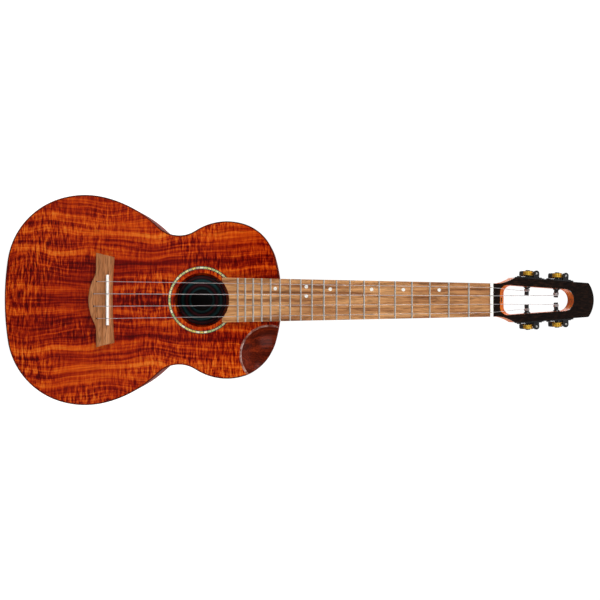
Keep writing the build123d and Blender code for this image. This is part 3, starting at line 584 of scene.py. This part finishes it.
# the shell lies in the black ring round the soundhole, with a black line left on either side
ring_low, ring_high = (Vector(corner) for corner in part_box("rosette"))
ring_middle = (ring_low + ring_high) / 2
ring_middle.y = ring_low.y
mosaic = grown("rosette_mosaic", ring_mosaic(),
               {"Count": 52, "Ring Radius": 37.0 * MM, "Piece Length": 3.9 * MM, "Piece Width": 2.0 * MM,
                "Piece Height": 0.06 * MM, "Finish": abalone},
               axes_along(ring_middle, (0, -1, 0), (1, 0, 0)))
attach(mosaic, body_of["rosette"])

# a thin black wall inside the channel to the truss rod's nut is painted shade, for a bore that is dark only
# from shadow; it opens on the slope behind the headstock's face
CHANNEL_RADIUS = 3.08 * MM
# inner radius of the wall of painted shade
SHADE_WALL_INSIDE = 2.98 * MM
CHANNEL_SIDES = 48
SLOPE_RISE = 0.4687
SLOPE_FOOT_Z = 566.02 * MM
SLOPE_FOOT_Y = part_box("soundboard")[0][1] - 2.25 * MM
BELOW_SLOPE = 0.04 * MM


def channel_lining(name):
    """Thin round wall, put in the channel as painted shade, that runs up z from the truss rod's nut and is
    cut off on the slope.
    """
    nut_low, nut_high = (Vector(corner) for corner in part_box("truss_rod_nut"))
    centre = (nut_low + nut_high) / 2
    work = bmesh.new()
    rings = []
    for step in range(CHANNEL_SIDES):
        angle = 2 * math.pi * step / CHANNEL_SIDES
        corners = []
        for radius, at_mouth in ((SHADE_WALL_INSIDE, False), (CHANNEL_RADIUS, False), (CHANNEL_RADIUS, True),
                                 (SHADE_WALL_INSIDE, True)):
            x = centre.x + radius * math.cos(angle)
            y = centre.y + radius * math.sin(angle)
            mouth = SLOPE_FOOT_Z + SLOPE_RISE * (y - SLOPE_FOOT_Y) - BELOW_SLOPE
            corners.append(work.verts.new((x, y, mouth if at_mouth else nut_high.z)))
        rings.append(corners)
    for here, after in zip(rings, rings[1:] + rings[:1]):
        for k in range(4):
            work.faces.new((here[k], here[(k + 1) % 4], after[(k + 1) % 4], after[k]))
    bmesh.ops.recalc_face_normals(work, faces=work.faces)
    mesh = bpy.data.meshes.new(name)
    work.to_mesh(mesh)
    work.free()
    piece = bpy.data.objects.new(name, mesh)
    bpy.context.scene.collection.objects.link(piece)
    return piece


channel = channel_lining("truss_channel_painted_shade")
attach(channel, body_of["neck"])
# the black faceplate finish on this wall paints the shade of the bore
channel.data.materials.append(faceplate)

# the turns of the strings on their posts, and the threads of the worms
GAUGE_MM = {1: 0.57, 2: 0.66, 3: 0.83, 4: 0.66}
POST_RADIUS = 2.5 * MM
STRING_TURNS = 4.0
ROOM_PER_TURN = 1.03
THREAD_LENGTH = 8.2 * MM
# the shaft is made centred on the worm, then both of its ends are shifted against the axis of the key
SHAFT_LENGTH = 23.4 * MM
SHAFT_END_FROM = 10 * MM
SHAFT_SHIFT = 4.2 * MM
wound = wound_wire()
for number in STRINGS:
    turn = joints[f"roller_{number}_turn"]
    root, outward = Vector(turn["pos_m"]), Vector(turn["axis"])
    end = string_end(number)
    foot = root + outward * (end - root).dot(outward)
    gauge = GAUGE_MM[number] * MM
    # four turns lie side by side from where the string arrives towards the headstock's rail
    coil = grown(f"string_{number}_turns", wound,
                 {"Coil Radius": POST_RADIUS + gauge / 2, "Wire Radius": gauge / 2, "Turns": STRING_TURNS,
                  "Length": STRING_TURNS * gauge * ROOM_PER_TURN, "Core Radius": POST_RADIUS * 0.99,
                  "Core Length": 0.4 * MM, "Finish": clear_string},
                 axes_along(foot, outward, (end - foot).normalized()))
    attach(coil, f"roller_{number}")

    key = joints[f"key_{number}_turn"]
    centre, along = Vector(key["pos_m"]), Vector(key["axis"])
    thread = grown(f"tuner_{number}_thread", wound,
                   {"Coil Radius": 1.45 * MM, "Wire Radius": 0.5 * MM, "Turns": 4.0,
                    "Length": THREAD_LENGTH, "Core Radius": 1.4 * MM, "Core Length": SHAFT_LENGTH,
                    "Finish": steel},
                   axes_along(centre - along * THREAD_LENGTH / 2, along, outward))
    for vertex in thread.data.vertices:
        if abs((vertex.co - centre).dot(along)) > SHAFT_END_FROM:
            vertex.co -= along * SHAFT_SHIFT
    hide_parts(f"tuner_{number}_worm")
    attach(thread, f"key_{number}")


# ---- the floor, the light and the camera ----
def soft_window(name, place, target, size, watts):
    """Rectangular white lamp that faces its target."""
    lamp = bpy.data.lights.new(name, "AREA")
    lamp.shape = "RECTANGLE"
    lamp.size, lamp.size_y = size
    lamp.energy = watts
    holder = bpy.data.objects.new(name, lamp)
    bpy.context.scene.collection.objects.link(holder)
    holder.location = place
    holder.rotation_euler = (Vector(target) - Vector(place)).to_track_quat("-Z", "Y").to_euler()


def pale_floor():
    """Seamless white paper under the instrument, 2 mm below it."""
    mesh = bpy.data.meshes.new("paper_floor")
    half = 6.0
    mesh.from_pydata([(-half, -half, 0), (half, -half, 0), (half, half, 0), (-half, half, 0)], [],
                     [(0, 1, 2, 3)])
    floor = bpy.data.objects.new("paper_floor", mesh)
    bpy.context.scene.collection.objects.link(floor)
    floor.location.z = -2 * MM
    material, tree, shader = new_material("white_paper", **{"Roughness": 0.9})
    seen = put(tree, "ShaderNodeLightPath", out="Is Camera Ray")
    glow = put(tree, "ShaderNodeMath", {0: seen, 1: 1.0, 2: 0.05}, 0, operation="MULTIPLY_ADD")
    tree.links.new(glow, shader.inputs["Emission Strength"])
    where = put(tree, "ShaderNodeTexCoord", out="Object")
    fibres = put(tree, "ShaderNodeTexNoise",
                 {"Vector": where, "Scale": 40.0, "Detail": 2.0, "Roughness": 0.5, "Distortion": 0.0}, "Fac")
    for socket, stops in (("Base Color", [(0.3, "#6A6A6A"), (0.7, "#727272")]),
                          ("Emission Color", [(0.3, "#F4F4F4"), (0.7, "#FAFAFA")])):
        tone = put(tree, "ShaderNodeValToRGB", {"Fac": fibres}, "Color", stops=stops)
        tree.links.new(tone, shader.inputs[socket])
    mesh.materials.append(material)


def white_room():
    """Even white light on matt surfaces, little of it in reflections, and a white backdrop."""
    world = bpy.data.worlds.new("white_room")
    bpy.context.scene.world = world
    world.use_nodes = True
    tree = world.node_tree
    tree.nodes.clear()
    path = put(tree, "ShaderNodeLightPath").outputs
    soft = put(tree, "ShaderNodeMath", {0: path["Is Diffuse Ray"], 1: 0.28, 2: 0.05}, 0,
               operation="MULTIPLY_ADD")
    room = put(tree, "ShaderNodeBackground", {"Color": (1, 1, 1, 1), "Strength": soft}, 0)
    backdrop = put(tree, "ShaderNodeBackground", {"Color": (1, 1, 1, 1), "Strength": 1.05}, 0)
    mixed = put(tree, "ShaderNodeMixShader", {0: path["Is Camera Ray"], 1: room, 2: backdrop}, 0)
    put(tree, "ShaderNodeOutputWorld", {"Surface": mixed})


pale_floor()
white_room()
middle = (Vector(cad_box[0]) + Vector(cad_box[1])) / 2
soft_window("window_front_bass", (-1.7, -1.7, 1.3), middle, (1.6, 1.6), 46)
soft_window("window_front_treble", (1.6, -1.8, 0.5), middle, (1.4, 1.6), 34)
soft_window("window_back_bass", (-1.6, 1.8, 1.1), middle, (1.6, 1.6), 34)
soft_window("window_back_treble", (1.7, 1.6, 0.9), middle, (1.4, 1.6), 28)
soft_window("ceiling", (0, 0, 2.6), (0, 0, 0), (3.0, 3.0), 34)

# the camera faces the frets with the neck to the right
CAMERA_DISTANCE = 0.950
CAMERA_HEIGHT = 0.3377
camera_data = bpy.data.cameras.new("camera")
camera_data.sensor_width = 36
camera_data.lens = 50.24
camera_data.clip_start = 0.01
camera_data.clip_end = 50
camera = bpy.data.objects.new("camera", camera_data)
bpy.context.scene.collection.objects.link(camera)
camera.matrix_world = Matrix((
    (0, -1, 0, 0),
    (0, 0, -1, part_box("frets")[0][1] - CAMERA_DISTANCE),
    (1, 0, 0, CAMERA_HEIGHT),
    (0, 0, 0, 1)))
bpy.context.scene.camera = camera
bpy.context.scene.view_settings.view_transform = "Standard"
